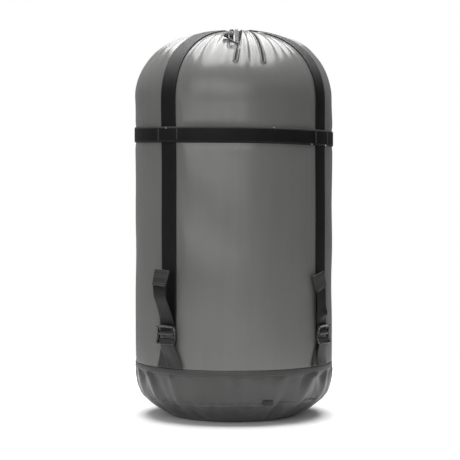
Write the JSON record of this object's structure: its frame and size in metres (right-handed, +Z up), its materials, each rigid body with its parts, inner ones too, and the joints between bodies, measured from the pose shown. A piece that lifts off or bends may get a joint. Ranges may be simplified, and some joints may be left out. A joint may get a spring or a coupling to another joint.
{
  "type": "compression stuff sack",
  "caption": "Upright filled drawstring stuff sack with domed gathered top, webbing compression straps in ladder locks, a ring strap and a darker base",
  "frame": {"origin": "centre of the round base, on the ground", "axes": "+Z up along the sack, -Y towards the front where the cord lock lies, +X to the right seen from the front"},
  "size_m": [0.3312, 0.3308, 0.6346],
  "materials": {
    "body_cloth": "satin coated nylon",
    "base_cloth": "satin coated nylon, darker",
    "webbing": "ribbed webbing",
    "buckle_plastic": "moulded, glossy",
    "lock_plastic": "moulded, fine ribs",
    "spring_steel": "bright wire",
    "cord": "braided cord",
    "tab": "plain woven tab, blank",
    "thread": "dense bar of thread"
  },
  "bodies": {
    "sack": {"base_disc": "base_cloth", "base_band": "base_cloth", "base_seam_fold": "base_cloth", "seam_tab": "tab", "lower_body_panel": "body_cloth", "lower_side_seam": "body_cloth", "lower_strap_front_left": "webbing", "lower_strap_front_right": "webbing", "lower_strap_rear_right": "webbing", "lower_strap_rear_left": "webbing", "anchor_loop_front_left": "webbing", "anchor_loop_front_right": "webbing", "anchor_loop_rear_right": "webbing", "anchor_loop_rear_left": "webbing"},
    "top": {"upper_body_panel": "body_cloth", "upper_side_seam": "body_cloth", "hem_channel": "body_cloth", "ring_strap": "webbing", "ring_bartacks": "thread", "crossing_strap_under": "webbing", "crossing_strap_over": "webbing", "crown_bartack": "thread", "drawcord_ring": "cord", "drawcord_end_lower": "cord", "drawcord_end_upper": "cord", "drawcord_hank": "cord", "drawcord_knot": "cord"},
    "lock_front_left": {"ladder_lock_front_left": "buckle_plastic", "strap_turn_front_left": "webbing"},
    "tail_front_left": {"strap_tail_front_left": "webbing"},
    "lock_front_right": {"ladder_lock_front_right": "buckle_plastic", "strap_turn_front_right": "webbing"},
    "tail_front_right": {"strap_tail_front_right": "webbing"},
    "lock_rear_right": {"ladder_lock_rear_right": "buckle_plastic", "strap_turn_rear_right": "webbing"},
    "tail_rear_right": {"strap_tail_rear_right": "webbing"},
    "lock_rear_left": {"ladder_lock_rear_left": "buckle_plastic", "strap_turn_rear_left": "webbing"},
    "tail_rear_left": {"strap_tail_rear_left": "webbing"},
    "cord_lock": {"cord_lock_barrel": "lock_plastic", "cord_lock_spring": "spring_steel"},
    "cord_lock_button": {"cord_lock_plunger": "lock_plastic"}
  },
  "joints": [
    {"name": "compress", "type": "slide", "parent": "sack", "child": "top", "axis": [0, 0, -1], "range_m": [0, 0.18], "deforming": ["lower_body_panel", "lower_side_seam", "lower_strap_front_left", "lower_strap_front_right", "lower_strap_rear_right", "lower_strap_rear_left"]},
    {"name": "lock_tilt_front_left", "type": "hinge", "parent": "sack", "child": "lock_front_left", "pos_m": [-0.10559, -0.12809, 0.134], "axis": [0.7716, -0.6361, 0], "range_deg": [0, 40]},
    {"name": "tail_swing_front_left", "type": "hinge", "parent": "lock_front_left", "child": "tail_front_left", "pos_m": [-0.1075, -0.1304, 0.1555], "axis": [0.7716, -0.6361, 0], "range_deg": [-3, 130]},
    {"name": "lock_tilt_front_right", "type": "hinge", "parent": "sack", "child": "lock_front_right", "pos_m": [0.14184, -0.08624, 0.131], "axis": [0.5195, 0.8545, 0], "range_deg": [0, 40]},
    {"name": "tail_swing_front_right", "type": "hinge", "parent": "lock_front_right", "child": "tail_front_right", "pos_m": [0.1444, -0.0878, 0.1525], "axis": [0.5195, 0.8545, 0], "range_deg": [-3, 130]},
    {"name": "lock_tilt_rear_right", "type": "hinge", "parent": "sack", "child": "lock_rear_right", "pos_m": [0.10559, 0.12809, 0.132], "axis": [-0.7716, 0.6361, 0], "range_deg": [0, 40]},
    {"name": "tail_swing_rear_right", "type": "hinge", "parent": "lock_rear_right", "child": "tail_rear_right", "pos_m": [0.1075, 0.1304, 0.1535], "axis": [-0.7716, 0.6361, 0], "range_deg": [-3, 130]},
    {"name": "lock_tilt_rear_left", "type": "hinge", "parent": "sack", "child": "lock_rear_left", "pos_m": [-0.14184, 0.08624, 0.131], "axis": [-0.5195, -0.8545, 0], "range_deg": [0, 40]},
    {"name": "tail_swing_rear_left", "type": "hinge", "parent": "lock_rear_left", "child": "tail_rear_left", "pos_m": [-0.1444, 0.0878, 0.1525], "axis": [-0.5195, -0.8545, 0], "range_deg": [-3, 130]},
    {"name": "cord_lock_slide", "type": "slide", "parent": "top", "child": "cord_lock", "axis": [0, -0.9063, -0.4226], "range_m": [0, 0.005]},
    {"name": "cord_lock_press", "type": "slide", "parent": "cord_lock", "child": "cord_lock_button", "axis": [1, 0, 0], "range_m": [0, 0.0026], "stiffness_N_per_m": 800, "springref_m": -0.003, "deforming": ["cord_lock_spring"]}
  ]
}
